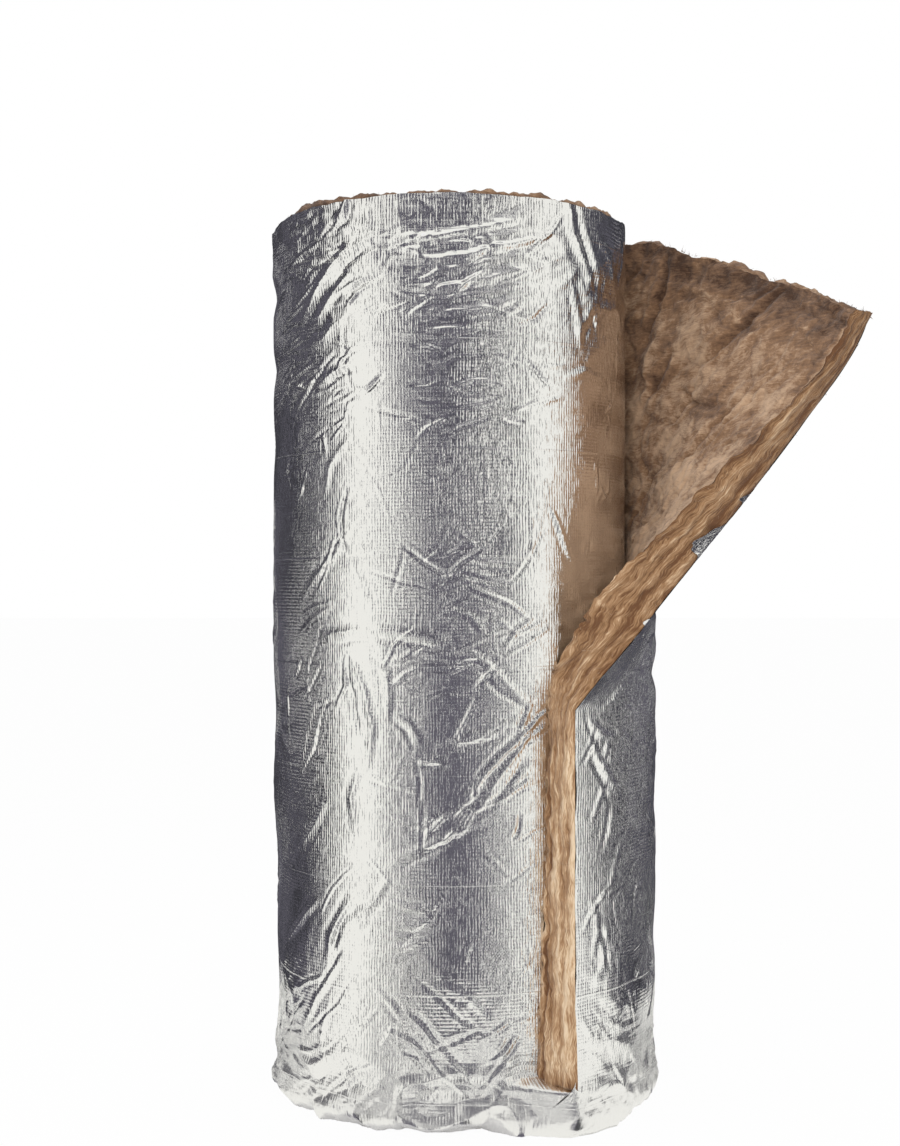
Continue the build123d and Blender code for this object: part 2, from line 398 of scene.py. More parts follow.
# Each fold: width and height in millimetres, then places as (degrees round from the seam, height in millimetres)
FOLDS = [
    (5, 2.6, [(301, 1145), (314, 1143), (325, 1144), (337, 1154), (349, 1169)]),
    (4, -2.2, [(305, 1139), (320, 1137), (334, 1144), (352, 1165)]),
    (5, 2.2, [(309, 1115), (322, 1113), (334, 1120), (349, 1137), (363, 1160)]),
    (4, -1.8, [(310, 1110), (325, 1107), (343, 1123), (361, 1149)]),
    (6, 2.2, [(312, 1078), (325, 1079), (340, 1091), (356, 1115)]),
    (4, -2.0, [(311, 1074), (328, 1071), (346, 1089)]),
    (5, 1.8, [(314, 1050), (328, 1046), (340, 1054), (359, 1083)]),
    (5, -1.4, [(311, 1012), (325, 1013), (343, 1027)]),
    (4, 1.6, [(312, 1137), (320, 1121), (321, 1110)]),
    (4, 1.5, [(321, 1149), (319, 1121)]),
    (5, 1.6, [(325, 1091), (334, 1120), (343, 1137)]),
    (5, 1.8, [(343, 1111), (352, 1101), (365, 1130)]),
    (6, -1.6, [(334, 1161), (349, 1182), (363, 1194)]),
    (5, 1.6, [(312, 1182), (325, 1184), (337, 1179)]),
    (5, 2.4, [(298, 1208), (295, 1181), (291, 1162)]),
    (4, -2.0, [(296, 1201), (293, 1177)]),
    (6, 2.8, [(305, 1145), (296, 1136), (292, 1122), (286, 1097), (277, 1051)]),
    (5, -2.2, [(303, 1133), (296, 1115), (290, 1082)]),
    (5, 1.8, [(296, 1098), (290, 1076), (284, 1045)]),
    (5, 2.4, [(299, 992), (292, 978), (284, 960)]),
    (4, -1.6, [(297, 979), (290, 963)]),
    (5, 1.4, [(283, 1127), (270, 1123), (256, 1107)]),
    (5, 1.4, [(279, 978), (273, 957), (268, 931)]),
    (6, 1.5, [(295, 1050), (287, 1023), (280, 1017)]),
    (6, 1.4, [(298, 896), (290, 858), (288, 819)]),
    (6, 1.5, [(298, 779), (292, 740), (284, 714), (275, 671)]),
    (6, 1.5, [(292, 677), (283, 658), (275, 633)]),
    (7, 3.4, [(284, 627), (291, 639), (301, 644), (311, 643), (321, 637), (329, 624)]),
    (5, -2.8, [(292, 625), (304, 633), (320, 626), (328, 617)]),
    (5, 2.4, [(316, 614), (328, 616), (336, 610), (339, 601), (342, 573)]),
    (6, 2.6, [(338, 609), (344, 578), (349, 559), (353, 546)]),
    (4, -2.0, [(336, 596), (343, 563), (352, 541)]),
    (5, 1.6, [(325, 673), (334, 663), (339, 637)]),
    (6, 3.0, [(327, 501), (334, 509), (342, 511)]),
    (5, -2.4, [(329, 494), (337, 499), (344, 506)]),
    (5, 2.2, [(343, 524), (349, 529), (354, 530)]),
    (5, 2.4, [(319, 476), (328, 478)]),
    (4, -1.8, [(320, 471), (328, 471)]),
    (6, 3.6, [(354, 525), (346, 493), (338, 456), (331, 420)]),
    (5, -3.0, [(349, 503), (342, 468), (334, 433)]),
    (6, 2.8, [(351, 500), (344, 465), (336, 413)]),
    (5, -2.2, [(352, 482), (345, 444), (340, 417)]),
    (7, 2.2, [(339, 407), (328, 382), (321, 369), (312, 352)]),
    (5, -1.6, [(336, 392), (325, 369), (314, 339)]),
    (5, 2.0, [(312, 539), (317, 524), (320, 496)]),
    (4, -1.6, [(311, 531), (315, 516), (318, 489)]),
    (6, 2.4, [(297, 616), (302, 572), (305, 520), (303, 462)]),
    (5, -2.0, [(295, 603), (299, 558), (301, 500)]),
    (6, 2.0, [(308, 611), (310, 573), (310, 521)]),
    (6, 2.2, [(301, 468), (298, 428), (300, 377)]),
    (5, 1.6, [(284, 555), (279, 501), (275, 445)]),
    (6, 1.6, [(290, 425), (281, 375), (273, 336)]),
    (7, 3.0, [(299, 301), (295, 276), (290, 244), (289, 204)]),
    (5, -2.8, [(297, 282), (293, 256), (291, 229)]),
    (6, 2.2, [(311, 329), (305, 294), (297, 265)]),
    (6, 1.8, [(285, 291), (275, 251), (265, 215)]),
    (6, 2.0, [(294, 217), (284, 158), (275, 96)]),
    (5, 1.8, [(311, 296), (320, 289), (325, 298)]),
    (5, -1.5, [(310, 264), (318, 258), (325, 272)]),
    (5, 1.6, [(310, 238), (317, 243), (324, 257)]),
    (5, 1.8, [(305, 191), (312, 162), (317, 125)]),
    (5, -1.5, [(308, 173), (315, 140), (322, 103)]),
    (5, 1.8, [(315, 160), (322, 131), (328, 98)]),
    (5, -1.6, [(318, 161), (325, 124), (332, 93)]),
    (5, 1.5, [(290, 162), (286, 107), (288, 69)]),
    (5, 1.5, [(268, 76), (280, 86), (290, 102)]),
    (6, 1.4, [(325, 197), (334, 177), (340, 144)]),
    (6, 1.8, [(314, 75), (325, 60), (337, 64), (346, 75)]),
    (6, -1.8, [(310, 51), (325, 42), (340, 51), (349, 58)]),
    (6, 1.6, [(343, 91), (352, 79), (358, 65)]),
    (6, 2.6, [(365, 1204), (368, 1160), (377, 1096)]),
    (5, -2.2, [(369, 1193), (373, 1149), (381, 1088)]),
    (5, 2.0, [(367, 1096), (370, 1056), (372, 1009)]),
    (5, 1.8, [(364, 971), (374, 981), (387, 968)]),
    (6, 1.6, [(380, 1167), (387, 1142), (392, 1108)]),
    (5, 1.4, [(358, 1077), (365, 1093), (372, 1122)]),
    (6, 3.0, [(5, 506), (10, 470), (18, 425)]),
    (5, -2.4, [(6, 482), (10, 450), (13, 420)]),
    (6, 2.6, [(5, 529), (10, 509), (17, 502)]),
    (5, 2.2, [(12, 457), (9, 429), (6, 397)]),
    (5, -2.0, [(14, 427), (12, 389), (9, 352)]),
    (6, 2.0, [(10, 543), (15, 557), (20, 582)]),
    (6, 2.2, [(6, 302), (8, 262), (6, 225)]),
    (5, -2.0, [(7, 276), (11, 247), (13, 200)]),
    (6, 2.2, [(12, 260), (10, 215), (6, 173)]),
    (5, 1.6, [(19, 372), (15, 335), (13, 298)]),
    (6, 1.5, [(31, 566), (24, 539), (17, 531)]),
    (6, 1.6, [(34, 65), (23, 52), (14, 23)]),
    (6, 2.2, [(31, 40), (20, 30), (9, -10)]),
    (5, -2.0, [(27, 50), (15, 40), (6, -1)]),
    (6, 1.6, [(10, 144), (19, 123), (32, 116)]),
]

# Zones of short creases: count, degrees round, heights, slope and its spread in degrees, strength
CREASED_ZONES = (
    (52, (240, 300), (0.10, 1.05), 62, 22, 1.0),
    (40, (300, 352), (0.08, 1.00), 78, 40, 0.5),
    (110, (268, 360), (0.90, 1.18), 6, 14, 1.1),
    (26, (305, 352), (0.55, 0.75), 10, 25, 0.9),
    (22, (318, 356), (0.38, 0.55), 45, 20, 1.0),
    (60, (250, 350), (0.02, 0.15), 20, 45, 0.8),
    (30, (2, 60), (0.02, 0.15), 30, 45, 0.8),
    (36, (3, 40), (0.06, 0.56), 60, 35, 1.0),
    (26, (40, 110), (0.05, 0.55), 80, 40, 1.0),
    (60, (3, 100), (0.60, 1.12), 55, 50, 1.0),
    (90, (110, 240), (0.05, 1.15), 70, 45, 1.0),
    (22, (362, 410), (0.70, 1.15), 80, 30, 1.0),
)

# Dents where the roll has been carried, which show in its outline: degrees round, height, depth, spread upwards
DENTS = (
    (249, 1.105, 0.006, 0.020),
    (249, 1.000, 0.005, 0.022),
    (247, 0.90, 0.003, 0.03),
    (250, 0.52, 0.004, 0.05),
    (250, 0.30, 0.007, 0.08),
    (250, 0.12, 0.010, 0.10),
    (57, 0.585, 0.007, 0.018),
    (58, 0.40, 0.003, 0.03),
    (60, 0.22, 0.004, 0.03),
    (58, 0.08, 0.006, 0.04),
)

# Soft crumples of the hem: height, squeeze upwards, wavelength, seed, and the level that lies flat
HEM_CRUMPLES = ((0.0075, 1.3, 0.072, 29, 0.5), (0.0034, 1.0, 0.038, 31, 0.55), (0.0007, 1.0, 0.015, 33, 0.5))

# How far the hem of the turn beside the seam is pushed out, by degrees round
SKIRT_ANGLES = (340, 351, 356, 360, 368)
SKIRT_REACHES = (0, 0.016, 0.036, 0.048, 0.049)

# How far the top edge of the facing stands above its usual height, by degrees round
RIM_ANGLES = (112, 234, 250, 275, 320, 350, 375, 395, 412, 440, 484)
RIM_RISES = (0, 0.003, 0.005, 0.008, 0.010, 0.007, 0.005, 0.006, 0.009, 0.004, 0)

# Shreds of foil folded over the cut edge: height, spread upwards, and reach in degrees round
SHREDS = ((0.826, 0.026, 3.8), (0.891, 0.010, 2.0), (0.945, 0.005, 1.2), (0.688, 0.005, 1.2), (0.662, 0.005, 1.0))


def add_fold(relief, u, v, path, width, height):
    """Adds one crease to the relief, near its path only, fading out at its ends."""
    path = np.array(path)
    reach = 6 * width
    columns = np.where((u > path[:, 0].min() - reach) & (u < path[:, 0].max() + reach))[0]
    rows = np.where((v > path[:, 1].min() - reach) & (v < path[:, 1].max() + reach))[0]
    if not len(columns) or not len(rows):
        return
    near_u, near_v = np.meshgrid(u[columns], v[rows])
    wobble = 0.0025 * flat_noise(near_u, near_v, 0.03, 41)
    lengths = np.linalg.norm(np.diff(path, axis=0), axis=1)
    total, done = lengths.sum(), 0.0
    best = np.full(near_u.shape, np.inf)
    side = np.zeros(near_u.shape)
    along = np.zeros(near_u.shape)
    for a, b, size in zip(path[:-1], path[1:], lengths):
        run = (b - a) / size
        off_u, off_v = near_u - a[0], near_v - a[1]
        t = np.clip(off_u * run[0] + off_v * run[1], 0, size)
        gap = np.hypot(off_u - t * run[0], off_v - t * run[1])
        closer = gap < best
        best = np.where(closer, gap, best)
        side = np.where(closer, run[0] * off_v - run[1] * off_u, side)
        along = np.where(closer, (done + t) / total, along)
        done += size
    across = np.abs(best + wobble * np.sign(side))
    taper = np.clip(np.sin(np.pi * np.clip(along, 0.0, 1.0)), 0, 1) ** 0.6
    # Steeper on one side, with a shallow groove beside the crest
    steep = np.where(side > 0, 0.75, 1.3) * width
    crest = np.exp(-across / steep) - 0.35 * bump(2.0 * width, width, across)
    relief[np.ix_(rows, columns)] += height * taper * crest


def small_folds(winding):
    """Short sharp creases of handling: slanting on the left, level round the top, and any way elsewhere."""
    rng = np.random.default_rng(12)
    folds = []
    for count, angles, heights, slope, spread, strength in CREASED_ZONES:
        for _ in range(count):
            start = np.array([float(winding.flat(np.array(rng.uniform(*angles)))), rng.uniform(*heights)])
            turn = math.radians(rng.normal(slope, spread))
            reach = rng.uniform(0.012, 0.05)
            step = reach * np.array([math.cos(turn), math.sin(turn)])
            bow = rng.normal(0, 0.14) * reach * np.array([-math.sin(turn), math.cos(turn)])
            width = rng.uniform(0.0016, 0.0030)
            height = rng.choice([-1, 1]) * rng.uniform(0.3, 0.85) * width * strength
            folds.append((width, height, [start - step, start + bow, start + step]))
    return folds


def handling(u, v, a):
    """Fine crumples all over, stronger where the roll has been gripped, stood down or pressed."""
    front = smooth_step(228, 245, a)
    left = front * (1 - smooth_step(272, 300, a))
    top = smooth_step(1.0, 1.09, v) * front
    waist = bump(0.53, 0.13, v) * bump(330, 34, a)
    low = 1 - smooth_step(0.1, 0.3, v)
    behind = smooth_step(4, 14, a) * (1 - front)
    under = smooth_step(365, 380, a)
    share = 0.12 + 0.28 * left + 0.85 * top + 0.22 * waist + 0.25 * low + 0.4 * behind + 0.25 * under
    patchy = 0.3 + 1.1 * smooth_step(-0.2, 0.4, flat_noise(u, v, 0.13, 5))
    crumple = 0.0019 * creased(u, v, 0.052, 11) + 0.0008 * creased(u * 1.25, v, 0.023, 17)
    return share * patchy * (crumple - 0.0012)


def hem_relief(u, v, a, strength):
    """The hem, crumpled where the roll has been stood down and splayed over the floor."""
    hem = 1 - smooth_step(0.03, 0.13, v)
    flange = bump(362, 9, a) + bump(0, 3, a)
    relief = np.zeros_like(v)
    for height, squeeze, wavelength, seed, level in HEM_CRUMPLES:
        crumple = creased(u, v * squeeze, wavelength, seed) - level
        relief += strength * (1 - 0.8 * flange) * hem * height * crumple
    # Beside the seam the next turn is pushed out flat at its foot
    relief += (1 - smooth_step(0.058, 0.074, v)) * np.interp(a, SKIRT_ANGLES, SKIRT_REACHES)
    splay = np.clip(1 - v / 0.075, 0, 1) ** 1.3
    return relief + 0.006 * splay * (1 - flange) * (0.6 + flat_noise(u, v, 0.07, 37))


def facing_relief(winding, turned, level, strength):
    """How far the facing stands out from its smooth winding, over a grid of angles and levels."""
    flat = winding.flat(turned)
    relief = np.zeros((len(level), len(turned)))
    for width, height, path in FOLDS:
        # The level folds round the top are the largest
        high = smooth_step(940, 1020, path[0][1])
        wide, tall = (0.74 + 0.26 * high) * width / 1000, (0.72 + 0.4 * high) * height / 1000
        add_fold(relief, flat, level, winding.flat_path(path), wide, tall)
    for width, height, path in small_folds(winding):
        add_fold(relief, flat, level, path, width, strength * height)
    u, v = np.meshgrid(flat, level)
    a = np.meshgrid(turned, level)[0]
    relief += strength * handling(u, v, a)
    relief += 0.0008 * flat_noise(u, v * 0.6, 0.17, 23)
    for at, height, deep, tall in DENTS:
        relief -= deep * bump(height, tall, v) * bump(at, 17, a)
    relief += hem_relief(u, v, a, strength)
    # It lies flat along the loose edge
    relief *= 0.1 + 0.9 * smooth_step(0, 4, np.abs(a))
    return relief, u, v, a


def free_edge(v):
    """How far the facing ends from the cut edge, in degrees round: wavy, draped at its foot, and shredded."""
    wave = 0.5 * flat_noise(v, v * 0, 0.06, 3) + 0.25 * flat_noise(v, v * 0, 0.02, 4)
    drape = -9.0 * (1 - smooth_step(0.0, 0.09, v)) ** 1.2
    shreds = sum(reach * bump(height, spread, v) for height, spread, reach in SHREDS)
    torn = 0.7 + 1.3 * flat_noise(v, v * 0, 0.026, 6) + 0.6 * flat_noise(v, v * 0, 0.011, 8)
    return wave + drape - 1.25 * shreds * np.maximum(0, torn)


def facing_levels(winding, cell, high):
    """Levels of the facing in cells of one size, from its tucked hem up."""
    hem = winding.knee - winding.foot * math.pi / 2
    tuck = np.linspace(hem - 0.02, hem, 6)[:-1]
    return np.concatenate([tuck, np.linspace(hem, high, int((high - hem) / cell))])


def widened(values):
    """A row of values with one more at each end, at the same spacing."""
    return np.concatenate([[2 * values[0] - values[1]], values, [2 * values[-1] - values[-2]]])


def facing_patch(winding, turned, level, strength, loose):
    """A stretch of the facing, with normals that match its neighbours."""
    relief, u, v, a = facing_relief(winding, widened(turned), widened(level), strength)
    if loose:
        a = a + free_edge(v) * np.exp(-np.maximum(a, 0) / 9.0)
    # Below the knee it curves under the wool, then runs in level
    tuck = np.maximum(winding.knee - v, 0)
    tilt = np.minimum(tuck / winding.foot, math.pi / 2)
    beyond = np.maximum(tuck - winding.foot * math.pi / 2, 0)
    height = np.where(v < winding.knee, winding.knee - winding.foot * np.sin(tilt), v)
    height = winding.rise(a, height, winding.facing_top)
    inset = winding.foot * (1 - np.cos(tilt)) + beyond
    # What is folded over the loose edge lies on its wool
    on_flap = smooth_step(winding.peel_start, winding.peel_start + 0.06, height)
    inset = inset + 0.010 * on_flap * smooth_step(0.1, 2.5, -a) + 0.034 * smooth_step(0, 9, -a)
    swell = winding.swell(height) * np.exp(-np.maximum(a, 0) / 10.5) * (a < 170)
    swell = swell * (1 + 0.5 * (1 - smooth_step(0.03, 0.2, height)))
    x, y, out = winding.place(a, height, inset - swell)
    points = winding.points(x, y, height) + winding.outwards(out, tilt) * relief[..., None]
    # A wavy cut at the top
    rim = smooth_step(winding.facing_top - 0.03, winding.facing_top, v)
    wave = 0.0035 * flat_noise(u, v, 0.05, 53) + 0.0015 * flat_noise(u, v, 0.014, 59)
    points[..., 2] += rim * (wave + np.interp(a, RIM_ANGLES, RIM_RISES))
    points[..., 2] = np.maximum(points[..., 2], FOIL_GAP)
    inner = (slice(1, -1), slice(1, -1))
    return tuple(part[inner] for part in (points, np.stack([u, v], -1), relief, grid_normals(points)))


def build_facing(winding, material, strength):
    """The facing in stretches, finest at the front; the last two are on the turn beneath the loose end."""
    top = winding.facing_top
    # Below the peel that turn shows only a little way under the loose end
    below_peel = facing_levels(winding, 0.0045, top)
    below_peel = below_peel[below_peel < winding.peel_start - 0.055]
    for name, turned, level in (
        ("facing_loose_end", np.linspace(0, 112, 170), facing_levels(winding, 0.0031, top)),
        ("facing_behind", np.linspace(112, 234, 128), facing_levels(winding, 0.0042, top)),
        ("facing_front_low", np.linspace(234, 362, 272), facing_levels(winding, 0.0021, 0.6)),
        ("facing_front_high", np.linspace(234, 362, 272), np.linspace(0.6, top, 282)),
        ("facing_under_peel", np.linspace(362, 484, 150), np.linspace(winding.peel_start - 0.06, top, 225)),
        ("facing_under_seam", np.linspace(362, 376, 14), below_peel),
    ):
        make_piece(name, [facing_patch(winding, turned, level, strength, turned[0] == 0)], material, FOIL)


# Wool

# Each crease of the peeled corner's inner face: width, rise, then places, as in the folds of the facing
WOOL_CREASES = [
    (5, -12, [(29, 1196), (36, 1130), (45, 1066), (50, 1030)]),
    (10, 6, [(24, 1190), (30, 1130), (38, 1070)]),
    (10, 5, [(36, 1190), (44, 1120), (52, 1060)]),
    (5, -11, [(71, 1190), (70, 1130), (73, 1060)]),
    (12, 7, [(66, 1120), (67, 1040), (64, 960)]),
    (5, -9, [(58, 1070), (61, 1020), (66, 960)]),
    (5, -8, [(30, 1010), (44, 1000), (56, 1020)]),
    (5, -8, [(20, 1060), (28, 980), (36, 900)]),
    (10, 5, [(10, 1090), (20, 1000), (28, 900), (34, 820)]),
    (5, -7, [(14, 1090), (24, 960), (32, 840)]),
    (5, -8, [(50, 900), (56, 840), (60, 780)]),
    (9, 5, [(44, 1150), (60, 1160), (78, 1140)]),
    (5, -7, [(10, 1170), (20, 1178), (30, 1190)]),
    (5, -7, [(40, 850), (48, 800), (50, 740)]),
]

# Bites out of the corner's top, and a tuft on it: distance from the roll, spread, rise
BITES = ((0.21, 0.03, -0.012), (0.357, 0.009, -0.014), (0.31, 0.03, 0.006))

# Raggedness of loose wool: size, wavelength and first seed of its lumps, tufts and fibre
RAGS = ((0.0060, 0.045, 61), (0.0046, 0.016, 71), (0.0020, 0.006, 81))


def ragged(points, amount, seed=0):
    """Moves points about as loose wool does, the same for points that meet."""
    shift = sum(
        size * np.stack([noise(points, wavelength, first + seed + i) for i in range(3)], -1)
        for size, wavelength, first in RAGS
    )
    return points + np.asarray(amount)[..., None] * shift


class LooseFace:
    """The inner face of the peeled corner as a grid, which the cut edge and the ragged top meet."""

    def __init__(self, winding):
        start = winding.peel_start
        self.turned = np.concatenate([np.linspace(0, 6, 14), np.linspace(6.7, 113, 160)])
        foot, rest = np.linspace(start, start + 0.05, 22), np.linspace(start + 0.0527, winding.width, 215)
        self.level = np.concatenate([foot, rest])
        flat = winding.flat(self.turned)
        self.u, self.v = np.meshgrid(flat, self.level)
        self.a = np.meshgrid(self.turned, self.level)[0]
        self.height = winding.rise(self.a, self.v, winding.width)
        leave = winding.leaving(self.height)
        # Past the crevice it runs on inside the outer turn, clear of the facing beneath
        depth = winding.loose_depth(self.a, self.height) - 0.003 * smooth_step(-1.0, 3.0, self.a - leave)
        x, y, out = winding.place(self.a, self.height, depth)
        smooth = winding.points(x, y, self.height)
        relief = np.zeros(self.a.shape)
        for width, rise, path in WOOL_CREASES:
            add_fold(relief, flat, self.level, winding.flat_path(path), width / 1000, rise / 1000)
        billow = 0.010 * noise(smooth, 0.13, 97) + 0.007 * noise(smooth, 0.05, 99)
        groove = smooth_step(0.75, 1.0, creased(self.u, self.v * 1.2, 0.10, 91))
        free = smooth_step(0.5, 14, leave - self.a)
        self.shape = free * (relief + 0.7 * billow - 0.0035 * groove)
        self.inner = smooth - winding.outwards(out) * self.shape[..., None]
        self.face = ragged(self.inner, 0.25 + 0.5 * free)


def face_patch(winding, loose):
    """The inner face of the peeled corner, toned by its tufts, with painted shade in its hollows and beside the roll,
    and painted light at its foot.
    """
    tone = noise(loose.face, 0.03, 7) * 0.5 + noise(loose.face, 0.011, 8) * 0.35
    # Layers open along the cut edge, paler than the face
    layer = flat_noise(loose.u, loose.v * 0.12, 0.006, 9) + 0.7 * flat_noise(loose.u, loose.v * 0.2, 0.013, 10)
    tone = tone + np.exp(-loose.a / 5.0) * (0.8 + 1.6 * layer)
    # The top corner is darker, and the foot of the face is painted paler: painted light on its shaded lower part
    tone = tone - 1.0 * bump(1.19, 0.07, loose.v) + 1.5 * bump(0.71, 0.19, loose.v)
    # Painted shade: the wool is darkened in the crevice beside the roll, where the roll shades it
    painted_crevice_shade = np.exp(-np.maximum(winding.leaving(loose.height) - loose.a, 0) / 8.0)
    tone = tone - 1.3 * painted_crevice_shade * (1 - 0.8 * smooth_step(0.92, 1.06, loose.v))
    # Painted shade: the tone follows the face's relief, so its creases and hollows come out darker
    # The grid runs with the angle, so it is reversed to face inwards
    return turned_over((loose.face, np.stack([loose.u, loose.v], -1), loose.shape * 90 + tone * 1.6, None))


def cut_edge_patch(winding, loose):
    """The cut edge, from under the foot of the seam, up the roll and out along the loose edge."""
    start = winding.peel_start
    level = np.concatenate([np.linspace(0.05, start - 0.0025, 190), loose.level])
    w, q = np.meshgrid(np.linspace(0, 1, 24), level)
    height = winding.rise(np.zeros_like(q), q, winding.width)
    # Its foot is broad, and drawn in behind the facing
    flare = 1 - smooth_step(0.05, 0.22, height)
    under = 1 - smooth_step(0.05, 0.066, height)
    swell = winding.swell(height) * (1 + 0.9 * flare) * (1 - under)
    deepest = np.where(height < start, winding.pitch + 0.004, winding.loose_depth(np.zeros_like(q), height))
    depth = deepest + (WOOL_INSET - swell - deepest) * w
    # Low down the inner lip lies over on the next turn
    held = 1 - smooth_step(start - 0.05, start + 0.01, height)
    lip = (0.008 * held + 0.012 * (1 - smooth_step(0.16, 0.42, height))) * (1 - w) ** 1.4
    # The innermost layer has split off from the rest below the peel
    middle = 0.17 + 0.07 * flat_noise(0 * q, q, 0.11, 17) + 0.03 * flat_noise(0 * q, q, 0.03, 18)
    gaping = 0.55 + 0.9 * np.clip(flat_noise(0 * q, q, 0.07, 19) + 0.3, 0, 1)
    split = bump(middle, 0.045, w) * held * gaping
    # The cut swells past the facing's edge and is rounded at both sides
    rounded = 1 - (2 * w - 1) ** 4
    bulge = (0.0045 + 0.004 * flare) * rounded + lip - 0.0045 * split - 0.02 * under
    x, y, push_x, push_y = winding.cut_face(height, depth)
    seat = winding.points(x + push_x * bulge, y + push_y * bulge, height)
    # Its inner side meets the face of the wool
    rows = np.round(np.interp(level, loose.level, np.arange(len(loose.level)))).astype(int)
    above = level[:, None] >= start
    blend = (1 - smooth_step(0.0, 0.18, w)) * above
    edge = seat + blend[..., None] * (loose.inner[rows, :1] - seat[:, :1])
    # Layers of wool run along it
    across = w * EDGE_SPREAD
    drift = across + 0.005 * flat_noise(across, q, 0.07, 15) + 0.0015 * flat_noise(across, q, 0.02, 16)
    lines, streak = flat_noise(drift, q * 0.06, 0.0045, 13), flat_noise(drift, q * 0.05, 0.0095, 14)
    proud = rounded * (0.0022 * lines + 0.0036 * streak)
    calm = (0.45 + 0.55 * (1 - smooth_step(0, 0.4, w))) * (1 - 0.75 * smooth_step(0.75, 1, w))
    rough = ragged(edge, calm) + winding.points(push_x, push_y, 0.0) * proud[..., None]
    rough = np.where(((w == 0) & above)[..., None], ragged(edge, 1.0), rough)
    # Painted shade and light: darker in the gap of the split layer, along the inner side below the peel and at the
    # foot, and darker above the peel than below it
    shade = 0.3 - 0.4 * held + 1.7 * split + 0.55 * held * (1 - smooth_step(0.05, 0.25, w))
    shade = shade + 1.2 * (1 - smooth_step(0.052, 0.085, q))
    # The tone follows the layers that stand proud, so the gaps between them are darker: painted shade
    return rough, np.stack([across, q], -1), lines * 0.8 + streak * 1.4 - shade, None


def corner_top_patch(winding, loose):
    """The ragged top edge of the peeled corner."""
    w, a = np.meshgrid(np.linspace(0, 1, 20), loose.turned, indexing="ij")
    head = winding.crest(a, winding.width)
    deepest = winding.loose_depth(a, head)
    x, y, _ = winding.place(a, head, deepest + (WOOL_INSET - deepest) * w)
    strip = winding.points(x, y, head + 0.004 * (1 - (2 * w - 1) ** 2))
    strip = strip + (1 - smooth_step(0, 0.2, w))[..., None] * (loose.inner[-1] - strip[:1])
    along = winding.reach(a, head)
    bite = 0.006 * noise(strip, 0.03, 19) + 0.004 * noise(strip, 0.012, 21) - 0.004
    bite = bite + sum(rise * bump(at, spread, along) for at, spread, rise in BITES)
    rough = ragged(strip, 1.0)
    rough[..., 2] += bite * smooth_step(0, 0.15, w)
    rough = np.where((w == 0)[..., None], loose.face[-1], rough)
    flat = np.stack([winding.flat(a), winding.width + w * EDGE_SPREAD], -1)
    return turned_over((rough, flat, noise(rough, 0.02, 22), None))


def build_corner(winding, face_material, cut_material):
    loose = LooseFace(winding)
    make_piece("peeled_corner_face", [face_patch(winding, loose)], face_material, WOOL)
    make_piece("loose_cut_edge", [cut_edge_patch(winding, loose)], cut_material, WOOL)
    make_piece("peeled_corner_top", [corner_top_patch(winding, loose)], face_material, WOOL)


def end_of_roll(winding, first, step, columns, floor):
    """One end of the roll: a long loaf-shaped strip that follows the winding in to the bore."""
    angles = [first]
    while angles[-1] < INNERMOST:
        radius = winding.first - math.floor(angles[-1] / 180) * winding.pitch / 2
        angles.append(angles[-1] + math.degrees(step / max(radius, 0.04)))
    turned = np.array(angles)
    a, w = np.meshgrid(turned, np.linspace(0, 1, columns))
    # On the floor the outer turn leaves room for the tucked facing
    edge = 0.0015 + 0.027 * (1 - smooth_step(358, 374, a)) if floor else 0.005
    x, y, _ = winding.wound(a, edge + (winding.pitch - TURN_GAP - edge) * w)
    clear = np.maximum(1, (winding.bore + TURN_GAP) / np.maximum(np.hypot(x, y), 1e-6))
    loaf = np.abs(2 * w - 1) ** 7
    height = 2 * WOOL_GAP + TURN_ROUNDING * loaf if floor else winding.width - TURN_ROUNDING * loaf
    points = winding.points(x * clear, y * clear, height)
    if floor:
        rough = ragged(points, 0.3, 3)
        rough[..., 2] = np.maximum(rough[..., 2], WOOL_GAP)
    else:
        rough = ragged(points, 0.25 + 0.65 * smooth_step(0.05, 0.3, w), 3)
        rough[..., 2] += 0.004 * noise(points, 0.020, 39) + 0.004 * noise(points, 0.009, 40)
        rough[..., 2] += 0.5 * np.interp(a, RIM_ANGLES, RIM_RISES)
        # A lump stands up where the front of the rim has been pulled
        rough[..., 2] += 0.007 * bump(281, 13, a) * (1 - smooth_step(0.2, 0.6, w))
    flat = np.stack([winding.flat(a), w * winding.pitch], -1)
    # Painted shade: the tint darkens the rounded edges of each turn, where the turns meet, and the outer side of the
    # outer turns
    painted_outer_shade = bump(0, 0.25, w) * (a < 480)
    tint = noise(rough, 0.02, 24) - 0.6 * loaf - 1.3 * painted_outer_shade
    return turned_over((rough, flat, tint, None), (0, 1) if floor else 0), turned


